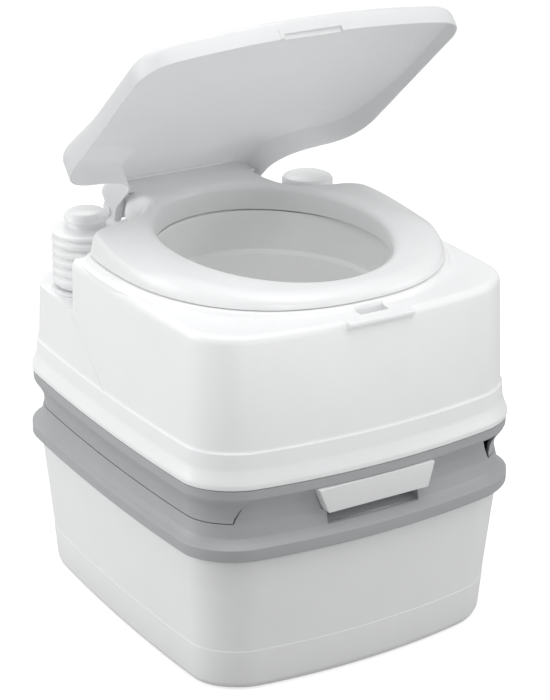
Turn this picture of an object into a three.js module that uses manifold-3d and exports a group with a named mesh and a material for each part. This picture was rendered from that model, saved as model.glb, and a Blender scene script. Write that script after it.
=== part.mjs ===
// Portable camp toilet: a flush-water section with bowl, seat and lid, standing on a waste section.
// Millimetres, +Z up. The origin is on the floor, in the middle of the base. The front faces -Y.
import * as THREE from 'three';
import { mergeVertices } from 'three/addons/utils/BufferGeometryUtils.js';
import Module from 'manifold-3d';

const wasm = await Module();
wasm.setup();

// ---------------------------------------------------------------- driving dimensions

// Plan outline of the body: a rounded rectangle whose sides bow outwards.
const WIDEST = 193; // half width at the flange of the waste section
const EXTRA_DEPTH = 22; // half depth minus half width
const CORNER = 56; // corner radius at the widest outline
const BOW = { side: 10, front: 23, rear: 6 }; // how far the corners lie behind the middle of each side
const RING = 32; // points round each outline

const WALL = 1.9; // moulded wall
const GAP = 0.3; // gap between pieces that touch

// Heights of the stack.
const TANK_TOP = 172; // top of the lower tank
const SEAM = 185; // joint between the two grey collars
const UPPER_BOTTOM = 224; // bottom of the upper tank
const UPPER_TOP = 373; // top face of the upper tank
const PLINTH_TOP = 378.4; // raised area under the seat

// Waste valve: a blade that slides forwards out from under the bowl outlet.
const OUTLET = 44; // radius of the opening in the valve
const VALVE = { half: 62, front: -150, rear: 58, bottom: TANK_TOP + GAP, top: 194.6 };
const BLADE = { half: 50.5, front: -52, rear: 46, bottom: 186, top: 190 };

// Handle on the front, and the pocket of the lower collar that it closes.
const HANDLE = { left: -72, right: 61, bottom: 187, top: 213, face: -213.4 };
const POCKET = { left: -76, right: 65, bottom: 175.6, back: -178 };
const CUTOUT = { left: -148, right: 146, lean: 10 }; // opening of the upper collar at the seam

// Pour-out spout: turns about a vertical axis and lies along +X when stowed.
const SPOUT = { x: -120, y: 165, z: 197, radius: 15, bore: 12.2, length: 106 };
const VENT = { x: 62, y: 158, head: 9, stem: 4 };

// Hinge line of seat and lid, parallel to X.
const HINGE = { y: 178.5, z: 380, pin: 3, bore: 3.6, barrel: 9 };
const ARM = { inner: 76.3, outer: 85, radius: 13 };
const SEAT_LUG = { inner: 60, outer: 74.5 };
const BLOCK_EAR = { inner: 38, outer: 58 };
const LID_OPEN = 41.4; // degrees from closed, as the lid stands at rest

// Seat. Its top rises towards the rear by slope, and top is its height over the origin.
const SEAT = { bottom: 379.2, top: 404.7, slope: 0.07, half: 169, reach: 187, centre: 10, power: 2.3 };
const SEAT_HUMP = 409.5; // height at which the rise of the seat ends

// Lid when closed: edge is the height of its rounded border, which is border wide and gains rise
// for each millimetre towards the rear, from the middle on.
const LID = { bottom: 376, edge: 399, rise: 0.11, top: 414, half: 178, border: 12 };

const PUMP = { x: -135, y: 133, shelf: 320, ridge: 36, valley: 32, pitch: 10, top: 405 };
const FILL = { x: 140, y: 145, shelf: 352, cap: 27.5, neck: 20, top: 396.5 };
const LATCH = { x: 70, half: 18, y: 211, z: 179, open: 15 };

// ---------------------------------------------------------------- materials

const finish = (color, roughness, metalness = 0) =>
  new THREE.MeshStandardMaterial({ color, roughness, metalness });

const WHITE = () => finish(0xf1f2f2, 0.35);
const LIGHT_GREY = () => finish(0xd0d2d3, 0.3);
const GREY = () => finish(0xa9acae, 0.4);
const OFF_WHITE = () => finish(0xe2e3e3, 0.35);
const RUBBER = () => finish(0x2b2c2d, 0.8);
const BLACK = () => finish(0x3a3c3e, 0.5);
const STEEL = () => finish(0xb7babd, 0.3, 1);

// ---------------------------------------------------------------- solids

// Turns a closed three.js geometry into a solid that can be joined and cut.
function solid(geometry) {
  const plain = geometry.clone();
  plain.deleteAttribute('normal');
  plain.deleteAttribute('uv');
  const merged = mergeVertices(plain, 1e-3);
  const corners = merged.index.array;
  const kept = [];
  for (let k = 0; k < corners.length; k += 3) {
    const [a, b, c] = [corners[k], corners[k + 1], corners[k + 2]];
    if (a !== b && b !== c && c !== a) kept.push(a, b, c);
  }
  const mesh = new wasm.Mesh({
    numProp: 3,
    vertProperties: merged.attributes.position.array,
    triVerts: Uint32Array.from(kept),
  });
  return new wasm.Manifold(mesh);
}

// Turns a solid back into a geometry.
function surface(body) {
  const mesh = body.getMesh();
  const geometry = new THREE.BufferGeometry();
  geometry.setAttribute('position', new THREE.BufferAttribute(mesh.vertProperties, 3));
  geometry.setIndex(new THREE.BufferAttribute(mesh.triVerts, 1));
  return geometry;
}

// A named piece from a solid.
function piece(name, shape, material) {
  const geometry = surface(shape);
  geometry.computeVertexNormals();
  const mesh = new THREE.Mesh(geometry, material);
  mesh.name = name;
  return mesh;
}

const block = (x0, x1, y0, y1, z0, z1) =>
  solid(new THREE.BoxGeometry(x1 - x0, y1 - y0, z1 - z0)
    .translate((x0 + x1) / 2, (y0 + y1) / 2, (z0 + z1) / 2));

// An upright cylinder.
const post = (x, y, radius, z0, z1, sides = 20) =>
  solid(new THREE.CylinderGeometry(radius, radius, z1 - z0, sides)
    .rotateX(Math.PI / 2)
    .translate(x, y, (z0 + z1) / 2));

// A cylinder along X.
const rod = (x0, x1, y, z, radius, sides = 20) =>
  solid(new THREE.CylinderGeometry(radius, radius, x1 - x0, sides)
    .rotateZ(Math.PI / 2)
    .translate((x0 + x1) / 2, y, z));

// Points of a profile listed anticlockwise as [radius, height]. One that keeps off the axis is a
// ring, so it closes on its first point.
function profilePoints(profile) {
  const closed = profile[0][0] > 0 ? [...profile, profile[0]] : profile;
  return closed.map(([radius, height]) => new THREE.Vector2(radius, height));
}

// A round piece about the vertical line through x, y.
function turned(profile, x = 0, y = 0, sides = 24) {
  const points = profilePoints(profile);
  return solid(new THREE.LatheGeometry(points, sides).rotateX(Math.PI / 2).translate(x, y, 0));
}

// A tube along a curve.
function tube(path, radius, bore, steps, sides) {
  const section = new THREE.Shape().absarc(0, 0, radius, 0, 2 * Math.PI);
  if (bore > 0) section.holes.push(new THREE.Path().absarc(0, 0, bore, 0, 2 * Math.PI));
  const options = { extrudePath: path, steps, curveSegments: sides, bevelEnabled: false };
  return solid(new THREE.ExtrudeGeometry(section, options));
}

// A plate of the given outline between two heights. Its edges are rounded by round, its sides
// move outwards by grow, and it rises by slope for each millimetre towards the rear.
function slab(outline, z0, z1, round = 0.2, grow = 0, steps = 3, slope = 0) {
  const geometry = new THREE.ExtrudeGeometry(outline, {
    depth: z1 - z0 - 2 * round,
    bevelThickness: round,
    bevelSize: round,
    bevelOffset: grow - round,
    bevelSegments: round > 1 ? steps : 1,
    curveSegments: 5,
  });
  geometry.translate(0, 0, z0 + round);
  return solid(geometry.applyMatrix4(new THREE.Matrix4().makeShear(0, 0, 0, slope, 0, 0)));
}

// A ring-shaped or full solid made by sending each profile point round an outline. The profile
// lists [half width, height] anticlockwise, and plan gives the outline for a half width.
function swept(profile, plan, sides = RING) {
  const points = profilePoints(profile);
  const lathe = new THREE.LatheGeometry(points, sides);
  const place = lathe.attributes.position;
  for (let k = 0; k < place.count; k += 1) {
    const turn = (Math.floor(k / points.length) % sides) / sides;
    const { x: half, y: height } = points[k % points.length];
    place.setXYZ(k, ...plan(turn, half), height);
  }
  return solid(lathe);
}

// ---------------------------------------------------------------- outlines

// Point of the body outline at a fraction of a turn, anticlockwise from the middle of the front.
function bodyPlan(turn, half) {
  const depth = half + EXTRA_DEPTH * Math.min(1, half / 120);
  const corner = CORNER * half / WIDEST;
  const quarter = Math.floor(turn * 4);
  const along = turn * 4 - quarter;
  const u = quarter % 2 === 0 ? along : 1 - along; // 0 at front or rear middle, 1 at a side middle
  let x = half;
  let y = depth;
  if (u < 0.25) {
    x = (half - corner) * 4 * u;
  } else if (u > 0.75) {
    y = (depth - corner) * 4 * (1 - u);
  } else {
    const angle = (u - 0.25) * Math.PI;
    x = half - corner + corner * Math.sin(angle);
    y = depth - corner + corner * Math.cos(angle);
  }
  const front = quarter === 0 || quarter === 3;
  const scale = half / WIDEST;
  const across = half > 0 ? x / half : 0;
  const deep = half > 0 ? y / depth : 0;
  const bowedX = x - BOW.side * scale * deep ** 2 * across ** 4;
  const bowedY = y - (front ? BOW.front : BOW.rear) * scale * across ** 2 * deep ** 4;
  return [quarter < 2 ? bowedX : -bowedX, front ? -bowedY : bowedY];
}

// Point of the bowl outline: a circle at the outlet that grows into an oval at the rim.
const OVAL = { round: 45, rim: 118, longer: 14, forward: 12 };
function ovalPlan(turn, half) {
  const share = Math.min(1, Math.max(0, (half - OVAL.round) / (OVAL.rim - OVAL.round)));
  const angle = 2 * Math.PI * turn;
  const depth = half + OVAL.longer * share;
  return [half * Math.sin(angle), -depth * Math.cos(angle) - OVAL.forward * share];
}

// Outline of the seat: a superellipse in front and at the sides, shoulders, and a neck.
function seatOutline(half, reach, neck, end) {
  const shape = new THREE.Shape();
  const steps = 18;
  const last = 0.078 * Math.PI; // how far past the widest place the superellipse runs
  const power = 2 / SEAT.power;
  for (let k = 0; k <= steps; k += 1) {
    const angle = (Math.PI / 2 + last) * (1 - 2 * k / steps);
    const x = -Math.sign(angle) * half * Math.abs(Math.sin(angle)) ** power;
    const away = Math.cos(angle);
    const y = SEAT.centre - Math.sign(away) * reach * Math.abs(away) ** power;
    if (k === 0) shape.moveTo(x, y);
    else shape.lineTo(x, y);
  }
  const { x, y } = shape.currentPoint.clone();
  const waist = y + 31; // where the shoulder turns into the neck
  shape.quadraticCurveTo(x - 6, y + 17, x - 28, y + 20);
  shape.bezierCurveTo(neck + 30, y + 22, neck + 8, waist, neck, waist + 26);
  shape.lineTo(neck, end);
  shape.lineTo(-neck, end);
  shape.lineTo(-neck, waist + 26);
  shape.bezierCurveTo(-neck - 8, waist, -neck - 30, y + 22, 28 - x, y + 20);
  shape.quadraticCurveTo(6 - x, y + 17, -x, y);
  return shape;
}

// Outline of the closed lid: bowed front, rounded corners, shoulders, and a neck to the hinge.
function lidOutline() {
  const shape = new THREE.Shape();
  shape.moveTo(-146, -172);
  shape.quadraticCurveTo(0, -207, 146, -172);
  shape.quadraticCurveTo(LID.half - 2, -165, LID.half, -134);
  shape.lineTo(LID.half, 36);
  shape.bezierCurveTo(LID.half, 68, 166, 84, 140, 88.4);
  shape.bezierCurveTo(112, 92, ARM.outer + 5, 98, ARM.outer, 126);
  shape.lineTo(ARM.outer, 165);
  shape.lineTo(-ARM.outer, 165);
  shape.lineTo(-ARM.outer, 126);
  shape.bezierCurveTo(-ARM.outer - 5, 98, -112, 92, -140, 88.4);
  shape.bezierCurveTo(-166, 84, -LID.half, 68, -LID.half, 36);
  shape.lineTo(-LID.half, -134);
  shape.quadraticCurveTo(2 - LID.half, -165, -146, -172);
  return shape;
}

// A prism across the part, from an outline given as [y, z] points, between two x values.
function across(points, x0, x1) {
  const shape = new THREE.Shape(points.map(([y, z]) => new THREE.Vector2(y, z)));
  const geometry = new THREE.ExtrudeGeometry(shape, { depth: x1 - x0, bevelEnabled: false });
  return solid(geometry.rotateX(Math.PI / 2).rotateZ(Math.PI / 2).translate(x0, 0, 0));
}

// A prism through the part from front to back, from an outline given as [x, z] points.
function through(points, y0, y1) {
  const shape = new THREE.Shape(points.map(([x, z]) => new THREE.Vector2(x, z)));
  const geometry = new THREE.ExtrudeGeometry(shape, { depth: y1 - y0, bevelEnabled: false });
  return solid(geometry.rotateX(Math.PI / 2).translate(0, y1, 0));
}

// ---------------------------------------------------------------- fasteners

// A pan-head screw standing on its head or hanging from it: head is the height of the face
// under the head, and way is +1 when the shank points up.
function screw(name, x, y, head, way, length) {
  const cap = way > 0 ? post(x, y, 4, head - 2.4, head, 12) : post(x, y, 4, head, head + 2.4, 12);
  const shank = way > 0
    ? post(x, y, 1.9, head - 1, head + length, 8)
    : post(x, y, 1.9, head - length, head + 1, 8);
  return piece(name, cap.add(shank), STEEL());
}

// ---------------------------------------------------------------- waste section

function lowerTank() {
  const outer = swept([
    [0, 0], [166, 0], [171.6, 2.3], [174, 8], [176.9, 44.4], [176.2, 45.6],
    [184.6, 146], [182, 150.6], [182, 168], [178, TANK_TOP], [0, TANK_TOP],
  ], bodyPlan);
  const inner = swept([
    [0, WALL], [166.6 - WALL, WALL], [171.8 - WALL, 4.4], [174 - WALL, 9.6],
    [184.3 - WALL, 145], [182 - WALL, 149.4], [182 - WALL, 167.2], [177.6 - WALL, TANK_TOP - WALL],
    [0, TANK_TOP - WALL],
  ], bodyPlan);
  return outer.subtract(inner)
    .subtract(post(0, 0, OUTLET + 4, 160, 180, 32))
    .subtract(post(SPOUT.x, SPOUT.y, SPOUT.radius + 0.7, 160, 180))
    .subtract(post(VENT.x, VENT.y, VENT.stem + 0.6, 160, 180, 12));
}

// The opening at the rear through which the spout swings.
const spoutWindow = (z0, z1) => block(SPOUT.x - 27, 12, 150, 240, z0, z1);

// The outline that the front wall of the lower collar fills in the skirt of the upper collar.
const cutout = (inset, z0, z1) => {
  const { left, right, lean } = CUTOUT;
  const rise = (z) => lean * (z - SEAM) / (UPPER_BOTTOM - SEAM);
  return through([
    [left + inset + rise(z0), z0], [right - inset - rise(z0), z0],
    [right - inset - rise(z1), z1], [left + inset + rise(z1), z1],
  ], -240, -150);
};

function lowerCollar() {
  const deck = TANK_TOP + GAP;
  const band = swept([
    [190.6, 151], [191.6, 151], [193, 152.6], [193, 163.6], [188.6, 167.4], [185.2, 171.6],
    [182.6, SEAM - 0.2], [180.2, SEAM - 0.2], [181.4, deck + 2.4], [170, deck + 2.4], [170, deck],
    [182.6, deck], [183.2, 170.8], [186.8, 166.2], [190.6, 162.6],
  ], bodyPlan);
  const wall = swept([
    [179, 173.6], [184.6, 173.6], [181.9, 187], [181.9, 198], [184.4, 212], [181.6, 212],
    [179.2, 199], [179.2, 187],
  ], bodyPlan).intersect(cutout(1.8, 173, 212.5));
  const { left, right, bottom, back } = POCKET;
  const frame = block(left - 3, right + 3, -202, back + 3, bottom - 3, 212);
  const opening = block(left, right, -240, back, bottom, 230);
  const scoop = across([
    [-199, bottom], [-206, bottom - 1.6], [-213, 169.4], [-230, 169.4], [-230, 190], [-199, 190],
  ], left + 19, right - 17);
  const rodSlot = block(-17, 17, -200, -160, BLADE.bottom - 0.4, 193);
  const ears = [-1, 1].map((side) => {
    const x = LATCH.x + side * (LATCH.half + 2.2);
    return across([
      [200, 172.6], [206, 172.6], [207.6, 168], [214, 172], [214, 182], [200, 182],
    ], x - 1.8, x + 1.8);
  });
  const pinHole = rod(LATCH.x - 30, LATCH.x + 30, LATCH.y, LATCH.z, 2, 12);
  return band.add(wall).add(frame).add(ears[0]).add(ears[1])
    .subtract(opening).subtract(scoop).subtract(rodSlot).subtract(pinHole)
    .subtract(spoutWindow(deck + 2.4, 240));
}

function valveBodies() {
  const { half, front, rear, bottom, top } = VALVE;
  const split = BLADE.top + GAP;
  const hole = post(0, 0, OUTLET, 150, 200, 32);
  const bores = [];
  const screws = [];
  [[-56.5, front + 8], [56.5, front + 8], [-56.5, rear - 6], [56.5, rear - 6]]
    .forEach(([x, y], index) => {
      bores.push(post(x, y, 2.3, bottom + 2, top + 1, 8));
      screws.push(screw(`valve_screw_${index + 1}`, x, y, top + GAP, -1, 20));
    });
  const spigot = turned([
    [OUTLET - 1, 160], [OUTLET + 3.2, 160], [OUTLET + 3.2, bottom + 1], [OUTLET - 1, bottom + 1],
  ], 0, 0, 32);
  const channel = block(-BLADE.half - 0.5, BLADE.half + 0.5, front - 1, BLADE.rear + 0.6,
    BLADE.bottom - GAP, split + 1);
  const lower = bores.reduce((body, bore) => body.subtract(bore),
    block(-half, half, front, rear, bottom, split - 0.15).add(spigot).subtract(hole).subtract(channel));
  const hollow = block(3 - half, half - 3, front + 3, -OUTLET - 8, bottom - 1, BLADE.bottom - 3)
    .add(block(3 - half, half - 3, -OUTLET - 9, rear - 3, bottom - 1, BLADE.bottom - 3)
      .subtract(post(0, 0, OUTLET + 3.2, 150, 200, 32)))
    .subtract(block(-half, -half + 10, front, front + 13, 150, 200))
    .subtract(block(half - 10, half, front, front + 13, 150, 200))
    .subtract(block(-half, -half + 10, rear - 12, rear, 150, 200))
    .subtract(block(half - 10, half, rear - 12, rear, 150, 200));
  const upper = bores.reduce((body, bore) => body.subtract(bore),
    block(-half, half, front, rear, split + 0.15, top).subtract(hole));
  return [
    piece('valve_body_bottom', lower.subtract(hollow), BLACK()),
    piece('valve_body_top', upper, BLACK()),
    ...screws,
  ];
}

function valveSlider() {
  const { half, front, rear, bottom, top } = BLADE;
  const { left, right, face } = HANDLE;
  const blade = block(-half, half, front, rear, bottom, top);
  const strap = block(-15, 15, -193.5, front - GAP, bottom + 1.2, top - 0.2);
  const grip = through([
    [left + 11, HANDLE.bottom], [right - 7, HANDLE.bottom], [right, HANDLE.top], [left, HANDLE.top],
  ], face, -194);
  const hollow = through([
    [left + 14, HANDLE.bottom + 3], [right - 11, HANDLE.bottom + 3],
    [right - 5, HANDLE.top - 3], [left + 5, HANDLE.top - 3],
  ], face + 3, -190).subtract(block(-18, 18, -230, -180, 180, 220));
  return [
    piece('valve_blade', blade, BLACK()),
    piece('valve_rod', strap, BLACK()),
    piece('valve_handle', grip.subtract(hollow), OFF_WHITE()),
  ];
}

function spoutParts() {
  const { x, y, z, radius, bore, length } = SPOUT;
  const path = new THREE.CurvePath();
  const bend = 22;
  const corner = new THREE.Vector3(x, y, z);
  const below = new THREE.Vector3(x, y, z - bend);
  const beyond = new THREE.Vector3(x + bend, y, z);
  path.add(new THREE.LineCurve3(new THREE.Vector3(x, y, 160), below));
  path.add(new THREE.QuadraticBezierCurve3(below, corner, beyond));
  path.add(new THREE.LineCurve3(beyond, new THREE.Vector3(x + length, y, z)));
  const flange = turned([
    [radius - 1, 175.4], [23, 175.4], [23, 178], [radius - 1, 178],
  ], x, y);
  const pipe = tube(path, radius, 0, 10, 8).add(flange);
  const flow = new THREE.CurvePath();
  flow.add(new THREE.LineCurve3(new THREE.Vector3(x, y, 159), below));
  flow.add(new THREE.QuadraticBezierCurve3(below, corner, beyond));
  flow.add(new THREE.LineCurve3(beyond, new THREE.Vector3(x + length + 1, y, z)));
  return piece('spout', pipe.subtract(tube(flow, bore, 0, 10, 6)), BLACK());
}

// Rings about the spout's axis, from a profile of [radius, distance along the spout].
function alongSpout(profile) {
  return solid(new THREE.LatheGeometry(profilePoints(profile), 24)
    .rotateZ(-Math.PI / 2)
    .translate(SPOUT.x, SPOUT.y, SPOUT.z));
}

function spoutCap() {
  const end = SPOUT.length;
  return alongSpout([
    [0, end + 2.6], [16.2, end + 2.6], [16.2, end - 14], [19.4, end - 14], [19.4, end + 4.6],
    [18, end + 6], [0, end + 6],
  ]);
}

function spoutCapSeal() {
  const end = SPOUT.length;
  return alongSpout([[12.6, end + GAP], [15.6, end + GAP], [15.6, end + 2.2], [12.6, end + 2.2]]);
}

function ventParts() {
  const { x, y, head, stem } = VENT;
  const rest = TANK_TOP + 8;
  const button = turned([
    [0, 163], [stem, 163], [stem, rest], [head, rest], [head, rest + 3], [head - 2, rest + 4.6],
    [0, rest + 4.6],
  ], x, y, 16);
  const poppet = turned([
    [stem + GAP, 164.6], [stem + 4, 164.6], [stem + 4, 169], [stem + GAP, 169],
  ], x, y, 16);
  const coil = [];
  const turns = 3;
  const steps = 30;
  const low = TANK_TOP + 1.1;
  for (let k = 0; k <= steps; k += 1) {
    const angle = 2 * Math.PI * turns * k / steps;
    const height = low + (rest - low - 1.1) * k / steps;
    coil.push(new THREE.Vector3(x + 6.4 * Math.cos(angle), y + 6.4 * Math.sin(angle), height));
  }
  const spring = tube(new THREE.CatmullRomCurve3(coil), 0.7, 0, 24, 3);
  return { button, poppet, spring };
}

function latchParts() {
  const { x, half, y, z } = LATCH;
  const lever = across([
    [y - 2, z - 3], [y + 2, z - 3], [y + 3, z], [y + 2.4, z + 22.5], [y - 5.2, z + 21.5],
    [y - 5.2, z + 18.4], [y - 1, z + 17.6], [y - 1, z + 4], [y - 3, z],
  ], x - half, x + half);
  const bored = lever.subtract(rod(x - 30, x + 30, y, z, 2, 12));
  return [
    piece('rear_latch', bored, GREY()),
    piece('latch_pin', rod(x - half - 4, x + half + 4, y, z, 1.5, 12), STEEL()),
  ];
}

// ---------------------------------------------------------------- flush section

const SHELVES = [
  { x0: -240, x1: -98, y0: 82, z: PUMP.shelf },
  { x0: 101, x1: 240, y0: 100, z: FILL.shelf },
  { x0: -100, x1: 103, y0: 162, z: 360 },
];

const shelf = ({ x0, x1, y0, z }, grow) =>
  block(x0 - grow, x1 + grow, y0 - grow, 250, z - grow, 420);

const COLLAR_SCREWS = [[-110, -186], [110, -186], [-172, 60], [172, 60]];

function upperTank() {
  const outer = swept([
    [0, UPPER_BOTTOM], [190.2, UPPER_BOTTOM], [191.5, 225.3], [191.5, 231.6], [188.8, 235.4],
    [187, 240.5], [186.4, 258.8], [184.9, 260.6], [184.5, 262], [180.6, 366], [179.2, 370.4],
    [175.5, UPPER_TOP], [0, UPPER_TOP],
  ], bodyPlan);
  const inner = swept([
    [0, UPPER_BOTTOM + WALL], [186 - WALL, UPPER_BOTTOM + WALL], [186.6 - WALL, 241],
    [184.6 - WALL, 261], [180.6 - WALL, 365], [178 - WALL, 369.8], [175 - WALL, UPPER_TOP - WALL],
    [0, UPPER_TOP - WALL],
  ], bodyPlan);
  const plinth = slab(seatOutline(SEAT.half + 1, SEAT.reach + 1, 74, 161), 365, PLINTH_TOP, 1.5);
  const well = swept([
    [0, 215], [62, 215], [62, 223], [81.4, 250], [103.8, 291], [117, 329], [118.8, 336],
    [123.4, 372.8], [130, 372.8], [130, 400], [0, 400],
  ], ovalPlan);
  const wellWall = swept([
    [0, 210], [64.2, 210], [64.2, 222], [83.6, 249], [106, 290], [119.2, 328], [121, 336],
    [125.6, 370.6], [132, 370.6], [132, 410], [0, 410],
  ], ovalPlan);
  let cavity = inner.subtract(wellWall);
  let body = outer.add(plinth);
  SHELVES.forEach((place) => {
    cavity = cavity.subtract(shelf(place, WALL));
    body = body.subtract(shelf(place, 0));
  });
  COLLAR_SCREWS.forEach(([x, y]) => {
    cavity = cavity.subtract(post(x, y, 6, 220, 238, 10));
  });
  body = body.subtract(cavity).subtract(well)
    .subtract(post(PUMP.x, PUMP.y, 19, 300, 330))
    .subtract(post(FILL.x, FILL.y, FILL.neck - 3, 340, 360))
    .subtract(nozzleBore());
  COLLAR_SCREWS.forEach(([x, y]) => {
    body = body.subtract(post(x, y, 2.3, 220, 234, 8));
  });
  HINGE_SCREWS.forEach(([x, y]) => {
    body = body.subtract(post(x, y, 2.3, 350, 365, 8));
  });
  const tongue = across([
    [-197, 372.6], [-207.4, 372], [-207.4, 369], [-201, 362], [-197, 362],
  ], -37, 37);
  return body.add(tongue).subtract(block(-16, 16, -193.4, -181.4, 364, 380));
}

function upperCollar() {
  const skirt = swept([
    [179.6, SEAM + 0.6], [182.4, SEAM + 0.6], [181.6, 190], [182.8, 199], [185.8, 206],
    [189.2, 211.3], [190.6, 214], [190.6, UPPER_BOTTOM - GAP], [150, UPPER_BOTTOM - GAP],
    [150, 221], [187.8, 221], [187.8, 215], [186.4, 212.6], [183, 207.4], [180, 199.6],
    [178.9, 190],
  ], bodyPlan);
  const lug = block(LATCH.x - 12, LATCH.x + 12, 200.5, 208.4, 192, 196);
  let body = skirt.add(lug)
    .subtract(cutout(0, SEAM - 5, 213.4))
    .subtract(spoutWindow(170, 219));
  COLLAR_SCREWS.forEach(([x, y]) => {
    body = body.subtract(post(x, y, 2.3, 218, 226, 8));
  });
  return body;
}

function bowl() {
  const shell = swept([
    [47.4, 204], [47.4, 209], [56, 219], [77.4, 249], [100.4, 291], [113.8, 328.6], [115.6, 336],
    [120.6, 375.8], [128, 375.8], [128, 378], [118, 378], [113, 337.4], [109, 333.6],
    [98, 291], [75, 249.6], [53.4, 219.6], [45, 209.6], [45, 204],
  ], ovalPlan);
  return shell.subtract(nozzleBore());
}

function bowlGasket() {
  return swept([[124.8, 373.1], [129, 373.1], [129, 375.5], [124.8, 375.5]], ovalPlan);
}

// Rinse nozzle: a short tube through the wall of the bowl and the wall of the tank's well.
const NOZZLE = { y: 30, z: 350, inner: -109, outer: -132, radius: 5, bore: 3 };
const nozzleBore = () => rod(-131, -103, NOZZLE.y, NOZZLE.z, NOZZLE.radius + 0.5, 12);

function rinseParts() {
  const { y, z, inner, outer, radius, bore } = NOZZLE;
  const nozzle = rod(outer, inner, y, z, radius, 12).subtract(rod(outer - 1, inner + 1, y, z, bore, 8));
  const route = new THREE.CatmullRomCurve3([
    new THREE.Vector3(outer - 0.4, y, z),
    new THREE.Vector3(outer - 4, y, z),
    new THREE.Vector3(outer - 12, y + 8, z - 6),
    new THREE.Vector3(-148, 56, 322),
    new THREE.Vector3(-139, PUMP.y - 50, 306),
    new THREE.Vector3(PUMP.x, PUMP.y - 27.7, 305),
  ]);
  return [
    piece('flush_nozzle', nozzle, GREY()),
    piece('flush_hose', tube(route, 4.5, 3, 10, 4), OFF_WHITE()),
  ];
}

const HINGE_SCREWS = [[-48, 171], [-48, 187], [48, 171], [48, 187]];

function hingeParts() {
  const { y, z, pin, bore, barrel } = HINGE;
  const parts = [];
  [['left', -1], ['right', 1]].forEach(([name, side]) => {
    const [x0, x1] = [side * BLOCK_EAR.inner, side * BLOCK_EAR.outer].sort((a, b) => a - b);
    let body = block(x0, x1, 166, 191, 360 + GAP, 363)
      .add(block(x0, x1, y - 3.4, y + 3.4, 361, z))
      .add(rod(x0, x1, y, z, barrel))
      .subtract(rod(x0 - 1, x1 + 1, y, z, bore, 12));
    HINGE_SCREWS.forEach(([x, sy]) => {
      body = body.subtract(post(x, sy, 2.3, 355, 370, 8));
    });
    parts.push(piece(`hinge_block_${name}`, body, GREY()));
    const [p0, p1] = [side * (BLOCK_EAR.inner - 1), side * (ARM.outer + 1.2)].sort((a, b) => a - b);
    parts.push(piece(`hinge_pin_${name}`, rod(p0, p1, y, z, pin, 12), STEEL()));
  });
  HINGE_SCREWS.forEach(([x, sy], index) => {
    parts.push(screw(`hinge_screw_${index + 1}`, x, sy, 363 + GAP, -1, 11));
  });
  return parts;
}

function pumpParts() {
  const { x, y, shelf: floor, ridge, valley, pitch, top } = PUMP;
  const base = turned([
    [13, 300], [18.3, 300], [18.3, floor + GAP], [37, floor + GAP], [37, floor + 3],
    [30, floor + 3.4], [13, floor + 3.4],
  ], x, y)
    .add(solid(new THREE.CylinderGeometry(4.5, 4.5, 9, 12).translate(x, y - 21.5, 305)))
    .subtract(solid(new THREE.CylinderGeometry(3, 3, 20, 8).translate(x, y - 21.5, 305)));
  const low = floor + 3.8;
  const first = floor + 13;
  const outside = [[28, low], [valley, low + 1.4]];
  const inside = [[26, low], [valley - 1.8, low + 2]];
  for (let k = 0; k < 6; k += 1) {
    const height = first + pitch * k;
    outside.push([ridge, height - 2.2], [ridge, k < 5 ? height + 2.2 : height]);
    inside.push([ridge - 1.8, height - 0.8]);
    if (k < 5) {
      outside.push([valley, height + pitch / 2]);
      inside.push([valley - 1.8, height + pitch / 2]);
    }
  }
  outside.push([33, top - 20.4], [20, top - 19], [18, top - 17.4], [18, top - 13.4]);
  inside.push([31, top - 22.8], [18, top - 21.4], [15.6, top - 19.6], [15.6, top - 13.4]);
  const bellows = turned([...outside, ...inside.reverse()], x, y, 20);
  const knob = turned([
    [0, top - 18], [14.6, top - 18], [14.6, top - 13], [20.8, top - 13], [22.4, top - 10.6],
    [21.6, top - 6.4], [17, top - 2.4], [9, top - 0.4], [0, top],
  ], x, y);
  const disc = (radius, z0) => turned([[0, z0], [radius, z0], [radius, z0 + 1.4], [0, z0 + 1.4]], x, y, 16);
  const intake = turned([[4, 229], [6, 229], [6, 299.6], [4, 299.6]], x, y, 12);
  return { base, bellows, knob, intakeValve: disc(12.4, 309), outletValve: disc(12.4, 313), intake };
}

function fillParts() {
  const { x, y, shelf: floor, cap, neck, top: crest } = FILL;
  const top = floor + 21;
  const spigot = turned([
    [neck - 3, floor + GAP], [neck + 4, floor + GAP], [neck + 4, floor + 3], [neck, floor + 3],
    [neck, top], [neck - 3, top],
  ], x, y);
  const seal = turned([
    [neck - 3, top + GAP], [neck, top + GAP], [neck, top + 2.4], [neck - 3, top + 2.4],
  ], x, y);
  const cover = turned([
    [0, top + 2.8], [neck + 1.8, top + 2.8], [neck + 1.8, floor + 12], [cap - 1, floor + 12],
    [cap, floor + 13.4], [cap, crest - 6.6], [cap - 1.8, crest - 3.8], [19.6, crest - 1.3],
    [10, crest - 0.2], [0, crest],
  ], x, y);
  return { spigot, seal, cover };
}

// ---------------------------------------------------------------- seat and lid

// Both are made closed, then moved so that the hinge line is at the origin of their group.
const toHinge = (body) => body.translate([0, -HINGE.y, -HINGE.z]);

// Everything under the crown of the lid, lowered by drop. The crown runs level to the rear.
function crown(drop) {
  const plan = (turn, half) => {
    const [x, y] = bodyPlan(turn, half);
    return [x, y > 0 ? 10 + y * 1.7 : 10 + y];
  };
  const { edge, top } = LID;
  return swept([
    [0, 280], [200, 280], [200, edge - 8 - drop], [166, edge - drop], [140, edge + 5 - drop],
    [110, edge + 10 - drop], [75, edge + 13.8 - drop], [40, top - drop], [0, top - drop],
  ], plan);
}

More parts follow.
